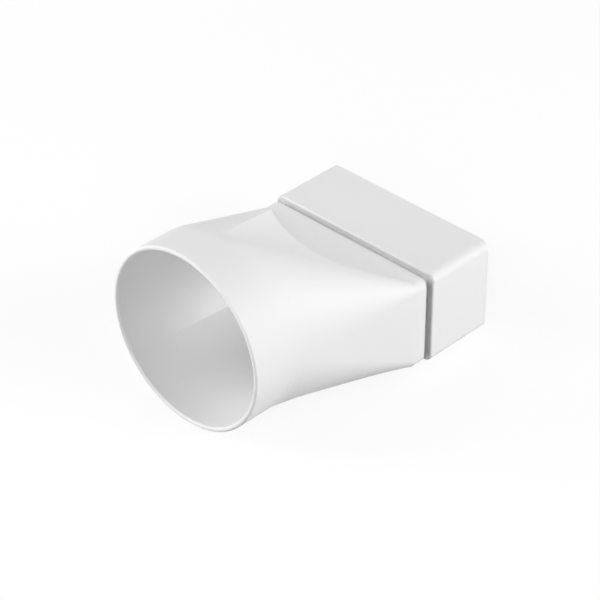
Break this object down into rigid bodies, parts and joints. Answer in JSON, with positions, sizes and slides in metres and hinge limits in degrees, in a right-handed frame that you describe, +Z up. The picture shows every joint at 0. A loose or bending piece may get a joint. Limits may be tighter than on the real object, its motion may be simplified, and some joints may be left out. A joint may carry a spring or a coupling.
{
  "type": "duct transition piece",
  "caption": "Duct transition piece: a round spigot that runs over into a flat rectangular duct end with a level underside and a groove round its root.",
  "frame": {"origin": "on the plane it lies on, under the middle of its length and width", "axes": "+Y along the duct from the round mouth to the flat mouth, X across the flat end's width, +Z up"},
  "size_m": [0.11, 0.164, 0.1],
  "materials": {
    "white_plastic": "smooth white moulded plastic with a soft shine"
  },
  "bodies": {
    "root": {"duct_transition": "white_plastic"}
  },
  "joints": []
}
